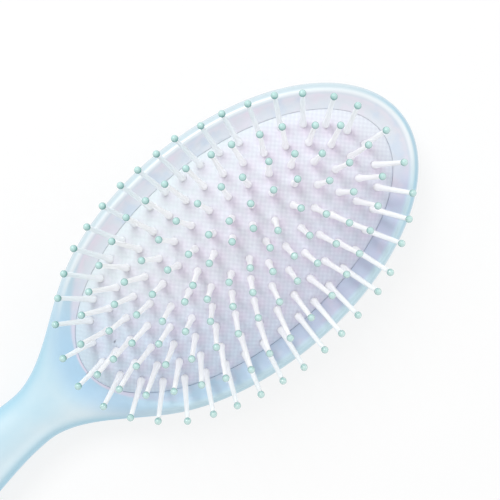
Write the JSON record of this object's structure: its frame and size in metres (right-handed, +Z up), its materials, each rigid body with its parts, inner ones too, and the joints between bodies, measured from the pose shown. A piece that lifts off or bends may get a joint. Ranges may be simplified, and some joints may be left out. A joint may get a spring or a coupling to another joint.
{
  "type": "hair grooming brush",
  "caption": "Oval air-cushion hair brush: one-piece handle and head, domed cushion seated in the head, and ball-tipped pins that sink and rock with the cushion.",
  "frame": {"origin": "middle of the flat land on the back of the head, directly under the middle of the cushion", "axes": "+X along the brush to the far end of the head, the handle points to -X; +Z up, the way the pins point"},
  "size_m": [0.2369, 0.0676, 0.0374],
  "materials": {
    "pearl_moulding": "pearlescent gloss, pale sky blue that turns lilac on the dished rim",
    "cushion_face": "matt rubber faced with a fine pale lilac weave",
    "pins": "milky nylon with mint ball tips"
  },
  "bodies": {
    "handle_and_head": {"brush_body": "pearl_moulding"},
    "cushion": {"cushion_pad": "cushion_face"},
    "middle_pins": {"middle_ring_pins_1": "pins", "middle_ring_pins_2": "pins", "lone_pin_near_handle": "pins", "lone_pin_near_end": "pins"},
    "fourth_ring": {"fourth_ring_pins_1": "pins", "fourth_ring_pins_2": "pins", "fourth_ring_pins_3": "pins", "fourth_ring_pins_4": "pins"},
    "third_ring": {"third_ring_pins_1": "pins", "third_ring_pins_2": "pins", "third_ring_pins_3": "pins", "third_ring_pins_4": "pins", "third_ring_pins_5": "pins", "third_ring_pins_6": "pins"},
    "second_ring": {"second_ring_pins_1": "pins", "second_ring_pins_2": "pins", "second_ring_pins_3": "pins", "second_ring_pins_4": "pins", "second_ring_pins_5": "pins", "second_ring_pins_6": "pins", "second_ring_pins_7": "pins", "second_ring_pins_8": "pins"},
    "outer_ring": {"outer_ring_pins_1": "pins", "outer_ring_pins_2": "pins", "outer_ring_pins_3": "pins", "outer_ring_pins_4": "pins", "outer_ring_pins_5": "pins", "outer_ring_pins_6": "pins", "outer_ring_pins_7": "pins", "outer_ring_pins_8": "pins"}
  },
  "joints": [
    {"name": "cushion_rock", "type": "hinge", "parent": "handle_and_head", "child": "cushion", "pos_m": [0, 0, 0.0125], "axis": [1, 0, 0], "range_deg": [-2, 2], "stiffness_Nm_per_rad": 2.5, "deforming": ["cushion_pad"]},
    {"name": "cushion_press", "type": "slide", "parent": "cushion", "child": "middle_pins", "axis": [0, 0, -1], "range_m": [0, 0.003], "stiffness_N_per_m": 1500, "deforming": ["cushion_pad"]},
    {"name": "fourth_ring_press", "type": "slide", "parent": "cushion", "child": "fourth_ring", "axis": [0, 0, -1], "range_m": [0, 0.00284], "deforming": ["cushion_pad"]},
    {"name": "third_ring_press", "type": "slide", "parent": "cushion", "child": "third_ring", "axis": [0, 0, -1], "range_m": [0, 0.00251], "deforming": ["cushion_pad"]},
    {"name": "second_ring_press", "type": "slide", "parent": "cushion", "child": "second_ring", "axis": [0, 0, -1], "range_m": [0, 0.00188], "deforming": ["cushion_pad"]},
    {"name": "outer_ring_press", "type": "slide", "parent": "cushion", "child": "outer_ring", "axis": [0, 0, -1], "range_m": [0, 0.00105], "deforming": ["cushion_pad"]}
  ],
  "couplings": [
    {"joint": "fourth_ring_press", "follows": "cushion_press", "ratio": 0.93},
    {"joint": "third_ring_press", "follows": "cushion_press", "ratio": 0.82},
    {"joint": "second_ring_press", "follows": "cushion_press", "ratio": 0.61},
    {"joint": "outer_ring_press", "follows": "cushion_press", "ratio": 0.335}
  ]
}
